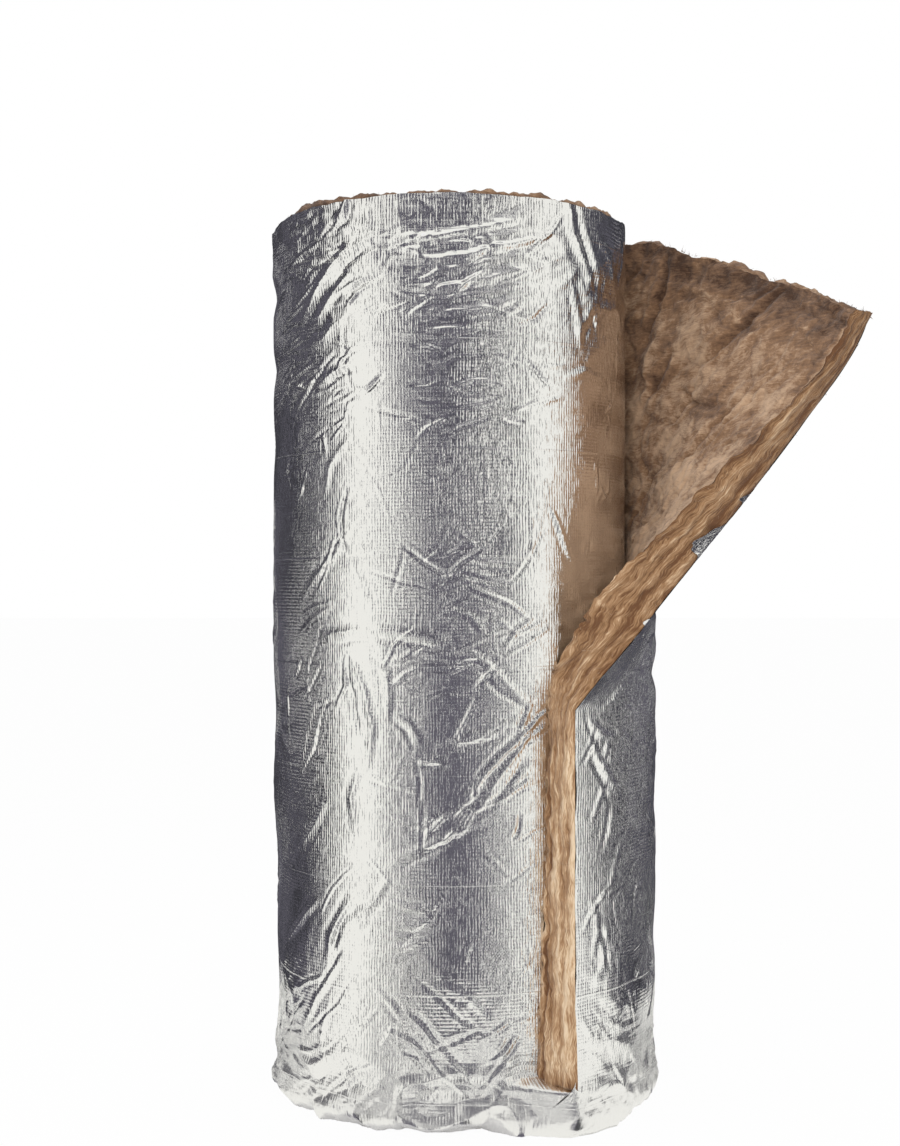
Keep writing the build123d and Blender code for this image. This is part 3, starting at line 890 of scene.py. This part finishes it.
def build_ends(winding, wool, foil):
    upper, turned = end_of_roll(winding, RIM_START, 0.0034, 15, False)
    # Outer side of the rim, behind the top of the facing
    a, drop = np.meshgrid(turned[turned < RIM_END], np.linspace(0.03, 0.006, 8))
    x, y, _ = winding.wound(a, 0.006)
    points = winding.points(x, y, winding.width - drop)
    flat = np.stack([winding.flat(a), winding.width - drop], -1)
    rim = (ragged(points, 0.35, 3), flat, noise(points, 0.02, 24), None)
    make_piece("upper_end_of_roll", [upper, rim], wool, WOOL)
    lower, turned = end_of_roll(winding, 0.0, 0.006, 9, True)
    make_piece("lower_end_of_roll", [lower], wool, WOOL)
    a, z = np.meshgrid(np.radians(np.linspace(0, 360, 91)), np.linspace(0.006, winding.width - 0.006, 160))
    wall = ragged(np.stack([winding.bore * np.cos(a), winding.bore * np.sin(a), z], -1), 0.8, 5)
    wall[:, -1] = wall[:, 0]
    wall_patch = turned_over((wall, np.stack([a * winding.bore, z], -1), noise(wall, 0.02, 26), None))
    make_piece("bore_wall", [wall_patch], wool, WOOL, WELD)
    # The facing's edge between the turns, wavy at the top and at the foot
    patches = []
    for first, low, high, sign in (
        (TOP_EDGE, winding.width - 0.016, winding.width - 0.0035, 1),
        (FOOT_EDGE, 0.0015, 0.016, -1),
    ):
        shown = turned[(turned > first) & (turned < LAST_EDGE)]
        a, z = np.meshgrid(np.arange(shown[0], shown[-1], 1.6), np.linspace(low, high, 4))
        wave = 0.0012 * np.sin(a * 0.9) + 0.0010 * np.sin(a * 0.23 + 1)
        x, y, _ = winding.wound(a, 0.0004 + wave * (z - low) / (high - low) * sign)
        cut = 0.0015 * flat_noise(winding.flat(a), z, 0.02, 33) * (sign > 0)
        patches.append((winding.points(x, y, z + cut), np.stack([winding.flat(a), z], -1), 0 * a, None))
    make_piece("facing_between_turns", patches, foil, FOIL)


# Wisps: where each starts, which way it points and how long it is


def rim_wisps(winding, rng, count):
    a = rng.uniform(RIM_START, 480, count)
    x, y, out = winding.wound(a, rng.uniform(0.002, 0.03, count))
    way = winding.outwards(out)
    way[:, 2] = rng.uniform(0.2, 2.2, count)
    way[:, :2] *= rng.uniform(-0.6, 1.2, (count, 1))
    way += rng.normal(0, 0.5, (count, 3))
    return winding.points(x, y, winding.width - 0.002), way, rng.uniform(0.002, 0.004, count)


def crest_wisps(winding, rng, count):
    a = rng.uniform(0.5, RIM_START, count)
    head = winding.crest(a, winding.width)
    x, y, _ = winding.place(a, head, rng.uniform(0.05, 0.95, count) * winding.loose_depth(a, head))
    way = np.stack([0 * a, 0 * a, rng.uniform(0.4, 1.8, count)], -1) + rng.normal(0, 0.6, (count, 3))
    return winding.points(x, y, head - 0.001), way, rng.uniform(0.002, 0.0045, count)


def cut_wisps(winding, rng, count):
    height = winding.rise(np.zeros(count), rng.uniform(0.07, winding.width - 0.01, count), winding.width)
    depth = rng.uniform(0.0, 1.0, count) * winding.loose_depth(np.zeros(count), height)
    x, y, push_x, push_y = winding.cut_face(height, depth)
    push = winding.points(push_x, push_y, 0.0)
    way = push * rng.uniform(0.1, 0.9, (count, 1)) + rng.normal(0, 0.45, (count, 3)) + [0, 0, 0.4]
    return winding.points(x, y, height) + push * 0.003, way, rng.uniform(0.003, 0.007, count)


def build_wisps(winding, material, amount):
    """Loose wisps of fibre along the ragged edges, each a thin tapering three-sided strand."""
    rng = np.random.default_rng(7)
    kinds = ((rim_wisps, 260), (crest_wisps, 160), (cut_wisps, 240))
    wisps = [kind(winding, rng, int(count * amount)) for kind, count in kinds]
    root, way, size = (np.concatenate(values) for values in zip(*wisps))
    count, rings = len(root), 5
    way = unit(way)
    bend = rng.normal(0, 1.6, way.shape)
    side = unit(np.cross(way, rng.normal(0, 1, way.shape)))
    third = np.cross(way, side)
    root, way, bend, side, third = (part[:, None, None] for part in (root, way, bend, side, third))
    along = np.linspace(0, 1, rings)[None, :, None, None]
    turn = (2 * math.pi / 3 * np.arange(3))[:, None]
    centre = root + size[:, None, None, None] * (way * along + bend * along**2 / 2)
    places = centre + WISP_RADIUS * (1 - 0.85 * along) * (side * np.cos(turn) + third * np.sin(turn))
    ring, corner = (part.ravel() for part in np.meshgrid(3 * np.arange(rings - 1), np.arange(3), indexing="ij"))
    follow = (corner + 1) % 3
    strand = np.stack([ring + corner, ring + follow, ring + 3 + follow, ring + 3 + corner], -1)
    faces = (strand + 3 * rings * np.arange(count)[:, None, None]).reshape(-1, 4)
    add_piece(quad_mesh("loose_wisps", places.reshape(-1, 3), faces), material, *WOOL)


# Materials


def linear(hex_colour):
    """An sRGB hex value as linear red, green, blue and alpha."""
    parts = [int(hex_colour[i : i + 2], 16) / 255 for i in (1, 3, 5)]
    return tuple(c / 12.92 if c <= 0.04045 else ((c + 0.055) / 1.055) ** 2.4 for c in parts) + (1.0,)


def add_node(tree, kind, inputs=(), ramp=(), **settings):
    """Adds a node: settings, values or sockets for its inputs, and for a colour ramp its hex colours by place."""
    made = tree.nodes.new("ShaderNode" + kind)
    for key, value in settings.items():
        setattr(made, key, value)
    for key, value in inputs.items() if isinstance(inputs, dict) else enumerate(inputs):
        if isinstance(value, bpy.types.NodeSocket):
            tree.links.new(value, made.inputs[key])
        else:
            made.inputs[key].default_value = value
    if ramp:
        elements = made.color_ramp.elements
        while len(elements) < len(ramp):
            elements.new(0.5)
        for element, (place, hex_colour) in zip(elements, ramp):
            element.position = place
            element.color = linear(hex_colour)
    return made.outputs


def new_material(name):
    """An empty material, and the function that adds a node to it."""
    material = bpy.data.materials.new(name)
    material.use_nodes = True
    material.node_tree.nodes.clear()
    return material, partial(add_node, material.node_tree)


def foil_laminate(look):
    """Rolled aluminium foil glued to a net of threads: a mirror that the threads break into fine upright lines."""
    material, add = new_material("rolled_aluminium_foil_laminate")
    flat = add("UVMap", uv_map="flat")["UV"]
    u, v, _ = add("SeparateXYZ", (flat,))
    # The threads wander sideways by up to 4 mm, in bends about 45 mm long
    sway = add("TexNoise", {"Vector": flat, "Scale": 22.0, "Detail": 2.0})["Fac"]
    upright = add("Math", (sway, 0.0045, u), operation="MULTIPLY_ADD")[0]
    level = add("Math", (sway, 0.003, v), operation="MULTIPLY_ADD")[0]
    # Real threads lie 3.3 mm apart; they are drawn 4 mm apart to show in the picture. Every 140 mm a thicker one
    # crosses the whole facing
    spacing = look.thread_spacing
    waves = []
    for across, start, gap in ((upright, 0.0, spacing), (level, 0.0, spacing * 1.15), (level, 0.043, 0.139)):
        from_start = add("Math", (across, start), operation="SUBTRACT")[0]
        swing = add("Math", (from_start, math.pi / gap), operation="MULTIPLY")[0]
        wave = add("Math", (swing,), operation="SINE")[0]
        waves.append(add("Math", (wave,), operation="ABSOLUTE")[0])
    warp, weft, hollow = waves
    thick = add("Math", (1.0, hollow), operation="SUBTRACT")[0]
    thick = add("Math", (thick, 60.0), operation="POWER")[0]
    # Each thread stands out more in some places than in others: by lengths of 13 mm, and by patches of 110 mm
    squeezed = add("Mapping", {"Vector": flat, "Scale": (260.0, 75.0, 1.0)})["Vector"]
    uneven = add("TexNoise", {"Vector": squeezed, "Scale": 1.0, "Detail": 2.0})["Fac"]
    patches = add("TexNoise", {"Vector": flat, "Scale": 9.0, "Detail": 3.0})["Fac"]
    by_thread = {"Value": uneven, "From Min": 0.33, "From Max": 0.68, "To Min": 0.1, "To Max": 1.8}
    by_patch = {"Value": patches, "From Min": 0.35, "From Max": 0.65, "To Min": 0.6, "To Max": 1.25}
    proud, strong = (add("MapRange", span)["Result"] for span in (by_thread, by_patch))
    # Foil that has been handled is broken into facets of about 30 mm with sharp edges. Over them lie streaks of
    # 2 by 17 mm, and a grain that is far finer on the real foil, drawn 2 mm wide to show
    facets = {"Vector": flat, "Scale": 34.0, "Detail": 3.0, "Roughness": 0.55, "Lacunarity": 2.2, "Distortion": 0.4}
    crinkle = add("TexNoise", facets, noise_type="RIDGED_MULTIFRACTAL")["Fac"]
    drawn = add("Mapping", {"Vector": flat, "Scale": (420.0, 60.0, 1.0)})["Vector"]
    streak = add("TexNoise", {"Vector": drawn, "Scale": 1.0, "Detail": 3.0, "Roughness": 0.7})["Fac"]
    speckle = add("TexNoise", {"Vector": flat, "Scale": 480.0, "Detail": 1.0})["Fac"]
    grain = add("Math", (speckle, 3.0), operation="POWER")[0]
    height = 0.0
    for factors, part in (
        ((warp, proud, strong), 0.00016),
        ((weft, strong), 0.00009),
        ((thick, patches), 0.0006),
        ((crinkle, strong), 0.00035),
        ((grain,), 0.00014),
        ((streak,), 0.0001),
    ):
        for factor in factors:
            part = add("Math", (factor, part), operation="MULTIPLY")[0]
        height = add("Math", (part, height), operation="ADD")[0]
    relief = add("Bump", {"Height": height, "Strength": 1.0, "Distance": 1.0})["Normal"]
    # The hem has been rubbed dull by handling and standing
    dull, bright = look.roughness + 0.2, look.roughness
    rubbed = {"Value": v, "From Min": 0.03, "From Max": 0.16, "To Min": dull, "To Max": bright}
    roughness = add("MapRange", rubbed)["Result"]
    metal = {"Base Color": linear(look.metal), "Metallic": 1.0, "Roughness": roughness, "Normal": relief}
    add("OutputMaterial", {"Surface": add("BsdfPrincipled", metal)["BSDF"]})
    return material


def finish_wool(add, tones, span, ramp, heights, surface):
    """Ends a wool's material: its tones by weight, coloured by the ramp, over its heights by weight."""
    # Where a noise is in both the tones and the heights, its low places come out darker: painted shade in the hollows
    tone = height = 0.0
    for value, weight in tones:
        tone = add("Math", (value, weight, tone), operation="MULTIPLY_ADD")[0]
    for value, weight in heights:
        height = add("Math", (value, weight, height), operation="MULTIPLY_ADD")[0]
    tone = add("MapRange", {"Value": tone, "From Min": span[0], "From Max": span[1]})["Result"]
    tint = add("ValToRGB", {"Fac": tone}, ramp)["Color"]
    rough = add("Bump", {"Height": height, "Strength": 0.9, "Distance": 1.0})["Normal"]
    shader = add("BsdfPrincipled", {"Base Color": tint, "Normal": rough, **surface})["BSDF"]
    add("OutputMaterial", {"Surface": shader})


def bonded_wool(look):
    """Matt glass wool cured with a brown binder: clouded colour and short fibres lying all ways, with painted shade
    that darkens its hollows.
    """
    material, add = new_material("brown_bonded_glass_wool")
    place = add("TexCoord")["Object"]
    swirl = add("TexNoise", {"Vector": place, "Scale": 13.0, "Detail": 3.0})["Color"]
    swirl = add("VectorMath", (swirl, (0.045, 0.045, 0.045)), operation="MULTIPLY")["Vector"]
    swirled = add("VectorMath", (place, swirl), operation="ADD")["Vector"]
    # Clouds of colour about 80 mm wide, and tufts of 12 mm
    clouds = add("TexNoise", {"Vector": swirled, "Scale": 12.0, "Detail": 6.0, "Roughness": 0.66})["Fac"]
    tufts = add("TexNoise", {"Vector": swirled, "Scale": 85.0, "Detail": 6.0, "Roughness": 0.78})["Fac"]
    # Fibres of 20 to 40 mm lie in two main directions; drawn about 1.5 mm thick to show
    fibre = 0.0
    for turn, shift in ((0.5, 3.0), (-0.9, 8.0)):
        lying = {"Location": (shift, shift, shift), "Rotation": (0.3, turn, 0.2), "Scale": (70.0, 70.0, 520.0)}
        drawn = add("Mapping", {"Vector": swirled, **lying})["Vector"]
        strands = add("TexNoise", {"Vector": drawn, "Scale": 1.0, "Detail": 3.0, "Roughness": 0.6})["Fac"]
        fibre = add("Math", (strands, 0.5, fibre), operation="MULTIPLY_ADD")[0]
    # The relief attribute holds random tone and painted shade from the shapes, darker in hollows, beside the roll and
    # between the turns, and painted light at the foot of the peeled face
    relief = add("Attribute", attribute_name="relief")["Fac"]
    tones = ((clouds, 1.4), (tufts, 0.85), (fibre, 0.75), (relief, 0.14))
    ramp = ((0.0, look.deep), (0.3, "#745843"), (0.52, look.middle), (0.74, "#AB8D72"), (1.0, look.pale))
    surface = {"Roughness": 0.95, "Specular IOR Level": 0.2, "Sheen Weight": 0.12, "Sheen Roughness": 0.6}
    finish_wool(add, tones, (1.11, 1.82), ramp, ((fibre, 0.0015), (tufts, 0.0028)), surface)
    return material


def cut_wool(look):
    """The cut edge of the blanket: matt layers of fibre that run along it, paler where the knife opened them, with
    painted shade in the gaps between them.
    """
    material, add = new_material("cut_glass_wool_layers")
    flat = add("UVMap", uv_map="flat")["UV"]
    # Layers 2 to 5 mm thick and about 60 mm long wander along the edge, in bends of 80 mm. The fibre in them is
    # drawn 1 mm thick to show, and clouded over 40 mm
    bend = add("TexNoise", {"Vector": flat, "Scale": 13.0, "Detail": 4.0, "Roughness": 0.55})["Fac"]
    shift = add("Math", (bend, 0.022), operation="MULTIPLY")[0]
    shift = add("CombineXYZ", (shift,))["Vector"]
    bent = add("VectorMath", (flat, shift), operation="ADD")["Vector"]
    layered = add("Mapping", {"Vector": bent, "Scale": (300.0, 17.0, 1.0)})["Vector"]
    broad = {"Vector": layered, "Scale": 1.0, "Detail": 6.0, "Roughness": 0.72, "Distortion": 0.25}
    layers = add("TexNoise", broad)["Fac"]
    fine = add("Mapping", {"Vector": bent, "Scale": (1000.0, 70.0, 1.0)})["Vector"]
    strands = add("TexNoise", {"Vector": fine, "Scale": 1.0, "Detail": 2.0, "Roughness": 0.6})["Fac"]
    clouds = add("TexNoise", {"Vector": flat, "Scale": 24.0, "Detail": 4.0})["Fac"]
    # The relief attribute holds painted shade and light from the edge's shape: darker in its split, on its inner side
    # and at its foot, paler below the peel
    relief = add("Attribute", attribute_name="relief")["Fac"]
    # Painted light: the lower part of the edge, below the peel, is painted paler
    level = add("SeparateXYZ", (flat,))["Y"]
    paler = add("MapRange", {"Value": level, "From Min": 0.65, "From Max": 0.40, "To Max": 0.19})["Result"]
    tones = ((layers, 1.0), (strands, 0.8), (clouds, 0.5), (relief, 0.20), (paler, 1.0))
    ramp = ((0.0, look.cut_deep), (0.28, "#93704F"), (0.52, look.cut_middle), (0.76, "#CBAC8A"), (1.0, look.cut_pale))
    surface = {"Roughness": 0.9, "Specular IOR Level": 0.25, "Sheen Weight": 0.15, "Sheen Roughness": 0.5}
    finish_wool(add, tones, (0.97, 1.55), ramp, ((layers, 0.0026), (strands, 0.0012)), surface)
    return material


def plain_light(name, hex_colour):
    """Hung cloth or a lit screen, as one even colour in the mirror-like foil."""
    material, add = new_material(name)
    glow = add("Emission", {"Color": linear(hex_colour), "Strength": 1.0})["Emission"]
    add("OutputMaterial", {"Surface": glow})
    material.cycles.emission_sampling = "NONE"
    return material


# Studio

WHITE = (1.0, 1.0, 1.0, 1.0)
FLOOR_REACH = 30.0
SCREEN_STEPS = 144
# Places of the cloth's three shades in its list of materials
DARK, LIT, DIM = range(3)
# The camera beside the roll's axis, and the shift that puts its horizon a little under the middle of the picture
CAMERA_ASIDE = -0.0086
HORIZON_SHIFT = 10 / 1146

# How much of the cloth round the studio is lit, as degrees round from the camera and a share of 1. Whole parts are
# the two white screens. The rest is broken into small patches, as windows and lamps are.
SCREENS = (
    (-180, -92, 0.04),
    (-92, -76, 0.10),
    (-76, -38, 1.0),
    (-38, -28, 0.30),
    (-28, -14, 0.40),
    (-14, 12, 0.04),
    (12, 20, 0.50),
    (20, 32, 0.28),
    (32, 39, 0.4),
    (39, 74, 1.0),
    (74, 90, 0.16),
    (90, 180, 0.05),
)

# The cloth as rings over the floor, up and overhead: radius, height, how much of it is lit at least, and the share
# of the list above that it takes
SCREEN_RINGS = (
    (0.25, 0.0004, 0.62, 1.0),
    (0.30, 0.0004, 0.62, 1.0),
    (0.37, 0.0004, 0.68, 1.0),
    (0.46, 0.0004, 0.72, 1.0),
    (0.56, 0.0004, 0.72, 1.0),
    (0.70, 0.0004, 0, 1.0),
    (1.1, 0.0004, 0, 1.0),
    (1.8, 0.0004, 0, 1.0),
    (2.6, 0.0004, 0, 1.0),
    (2.6, 0.30, 0, 1.0),
    (2.6, 0.62, 0, 1.0),
    (2.6, 0.95, 0, 1.0),
    (2.6, 1.30, 0, 0.40),
    (2.6, 1.68, 0, 0.25),
    (2.6, 2.10, 0.06, 0.4),
    (2.6, 2.70, 0.1, 1.0),
    (2.2, 3.3, 1.0, 1.0),
    (1.6, 3.7, 1.0, 1.0),
    (0.9, 3.9, 0, 1.0),
)

# Round lamps: name, place, what it is aimed at, size and power
LAMPS = (
    ("key_lamp", (-0.5, -3.0, 1.9), (0.2, 0.0, 0.8), 1.2, 32.0),
    ("left_lamp", (-2.4, -1.6, 0.7), (0.2, 0.0, 0.6), 1.2, 22.0),
    ("fill_lamp", (1.8, -2.7, 1.2), (0.2, 0.0, 0.7), 1.4, 9.0),
    ("top_lamp", (0.3, 0.6, 3.2), (0.1, 0.0, 0.9), 1.6, 16.0),
)


def stage_mesh(name, corners, faces, materials):
    """A flat-faced mesh that belongs to the studio and not to the roll."""
    mesh = bpy.data.meshes.new(name)
    mesh.from_pydata(corners, [], faces)
    for material in materials:
        mesh.materials.append(material)
    thing = bpy.data.objects.new(name, mesh)
    bpy.context.scene.collection.objects.link(thing)
    return thing


def add_floor(look):
    """A painted floor that the camera sees almost white, with a faint shadow."""
    material, add = new_material("painted_studio_floor")
    paint = add("BsdfDiffuse", {"Color": linear(look.floor)})["BSDF"]
    shine = add("Emission", {"Color": WHITE, "Strength": 1.0})["Emission"]
    share = add("Math", (add("LightPath")["Is Camera Ray"], 0.965), operation="MULTIPLY")[0]
    add("OutputMaterial", {"Surface": add("MixShader", (share, paint, shine))["Shader"]})
    material.cycles.emission_sampling = "NONE"
    corners = [(x * FLOOR_REACH, y * FLOOR_REACH, 0) for x, y in ((-1, -1), (1, -1), (1, 1), (-1, 1))]
    stage_mesh("studio_floor", corners, [(0, 1, 2, 3)], [material])


def add_screens(look):
    """What the foil mirrors: dark cloth all round with lit and dim patches in it, and two white screens."""
    names = {"dark_cloth": look.dark_cloth, "lit_screen": look.screen, "dim_screen": look.dim_screen}
    shades = [plain_light(name, value) for name, value in names.items()]
    wide, rings = 360 / SCREEN_STEPS, len(SCREEN_RINGS)
    rng = np.random.default_rng(5)
    corners, faces, indices = [], [], []
    for i in range(SCREEN_STEPS):
        a = math.radians(-90 + wide * i)
        corners += [(radius * math.cos(a), radius * math.sin(a), height) for radius, height, *_ in SCREEN_RINGS]
        turn = (wide * (i + 0.5) + 180) % 360 - 180
        share = next(part for low, high, part in SCREENS if low <= turn < high)
        for row, (_, _, least, part) in enumerate(SCREEN_RINGS[:-1]):
            first, second = i * rings + row, (i + 1) % SCREEN_STEPS * rings + row
            faces.append((first, second, second + 1, first + 1))
            chance = share if share == 1.0 else max(share * part, least)
            lit = chance == 1.0 or rng.uniform() < chance
            # There is more of the dim cloth beside the camera
            dark = 0.2 if abs(turn) < 30 else 0.6
            indices.append(LIT if lit else DARK if rng.uniform() < dark else DIM)
    screens = stage_mesh("studio_screens", corners, faces, shades)
    screens.data.polygons.foreach_set("material_index", indices)
    screens.visible_camera = screens.visible_diffuse = screens.visible_transmission = False
    screens.visible_shadow = screens.visible_volume_scatter = False


def add_world(scene):
    """White behind everything, softer as a light."""
    scene.world = bpy.data.worlds.new("white_studio")
    scene.world.use_nodes = True
    scene.world.node_tree.nodes.clear()
    add = partial(add_node, scene.world.node_tree)
    rays = add("LightPath")
    shown = rays["Is Camera Ray"]
    for kind in ("Is Glossy Ray", "Is Transmission Ray"):
        shown = add("Math", (shown, rays[kind]), operation="MAXIMUM")[0]
    level = add("Math", (shown, 0.35, 0.65), operation="MULTIPLY_ADD")[0]
    sky = add("Background", {"Color": WHITE, "Strength": level})["Background"]
    add("OutputWorld", {"Surface": sky})


def add_lamps(scene):
    for name, place, aim, size, power in LAMPS:
        lamp = bpy.data.lights.new(name, "AREA")
        lamp.shape, lamp.size, lamp.energy = "DISK", size, power
        thing = bpy.data.objects.new(name, lamp)
        thing.location = place
        x, y, z = np.subtract(aim, place)
        thing.rotation_euler = (math.atan2(math.hypot(x, y), -z), 0.0, math.atan2(y, x) - math.pi / 2)
        thing.visible_glossy = False
        scene.collection.objects.link(thing)


def add_camera(scene, look):
    """A level camera with a vertical view of about 40 degrees."""
    view = bpy.data.cameras.new("camera")
    view.sensor_fit = "VERTICAL"
    view.sensor_height = 36.0
    view.lens = 50.0
    view.shift_y = HORIZON_SHIFT
    camera = bpy.data.objects.new("camera", view)
    camera.location = (CAMERA_ASIDE, -look.camera_distance, look.camera_height)
    camera.rotation_euler = (math.pi / 2, 0.0, 0.0)
    scene.collection.objects.link(camera)
    scene.camera = camera


# Operators


def built(name):
    """A material that an earlier step has built."""
    material = bpy.data.materials.get(name)
    if material is None:
        raise RuntimeError("the facing and the loose end are built first")
    return material


class ROLL_OT_studio(Operator):
    """Builds the pale floor, the screens that the foil mirrors, the lamps and the camera"""

    bl_idname = "roll.studio"
    bl_label = "Build the studio"

    def execute(self, context):
        scene = context.scene
        add_floor(scene.roll_studio)
        add_screens(scene.roll_studio)
        add_world(scene)
        add_lamps(scene)
        add_camera(scene, scene.roll_studio)
        scene.view_settings.view_transform = "Standard"
        return {"FINISHED"}


class ROLL_OT_facing(Operator):
    """Builds the foil facing of the outer turn, the peeled corner and the bare turn beneath it"""

    bl_idname = "roll.facing"
    bl_label = "Build the foil facing"

    def execute(self, context):
        look = context.scene.roll_foil
        build_facing(Winding(context.scene.roll_sizes), foil_laminate(look), look.crumple)
        return {"FINISHED"}


class ROLL_OT_corner(Operator):
    """Builds the wool of the loose end: its cut edge, and the peeled corner"""

    bl_idname = "roll.corner"
    bl_label = "Build the loose end"

    def execute(self, context):
        look = context.scene.roll_wool
        build_corner(Winding(context.scene.roll_sizes), bonded_wool(look), cut_wool(look))
        return {"FINISHED"}


class ROLL_OT_ends(Operator):
    """Builds both ends of the roll, with each turn showing, and the bore"""

    bl_idname = "roll.ends"
    bl_label = "Build the ends of the roll"

    def execute(self, context):
        wool, foil = built("brown_bonded_glass_wool"), built("rolled_aluminium_foil_laminate")
        build_ends(Winding(context.scene.roll_sizes), wool, foil)
        return {"FINISHED"}


class ROLL_OT_wisps(Operator):
    """Adds the loose wisps of fibre along the ragged edges"""

    bl_idname = "roll.wisps"
    bl_label = "Add the wisps"

    def execute(self, context):
        wool = built("brown_bonded_glass_wool")
        build_wisps(Winding(context.scene.roll_sizes), wool, context.scene.roll_wool.wisps)
        return {"FINISHED"}


class ROLL_PT_panel(Panel):
    """Lists the steps that build the roll"""

    bl_label = "Insulation roll"
    bl_idname = "ROLL_PT_panel"
    bl_space_type = "VIEW_3D"
    bl_region_type = "UI"
    bl_category = "Insulation roll"

    def draw(self, context):
        for step in STEPS:
            self.layout.operator(step.bl_idname)
        for name, _ in GROUPS:
            group, box = getattr(context.scene, name), self.layout.box()
            for setting in group.__annotations__:
                box.prop(group, setting)


STEPS = (ROLL_OT_studio, ROLL_OT_facing, ROLL_OT_corner, ROLL_OT_ends, ROLL_OT_wisps)
GROUPS = (("roll_sizes", RollSizes), ("roll_foil", FoilLook), ("roll_wool", WoolLook), ("roll_studio", StudioLook))


def register():
    for name, group in GROUPS:
        bpy.utils.register_class(group)
        setattr(bpy.types.Scene, name, PointerProperty(type=group))
    for item in STEPS + (ROLL_PT_panel,):
        bpy.utils.register_class(item)


def unregister():
    for item in reversed(STEPS + (ROLL_PT_panel,)):
        bpy.utils.unregister_class(item)
    for name, group in reversed(GROUPS):
        delattr(bpy.types.Scene, name)
        bpy.utils.unregister_class(group)


def main():
    register()
    bpy.ops.roll.studio()
    bpy.ops.roll.facing()
    bpy.ops.roll.corner()
    bpy.ops.roll.ends()
    bpy.ops.roll.wisps()


if __name__ == "__main__":
    main()
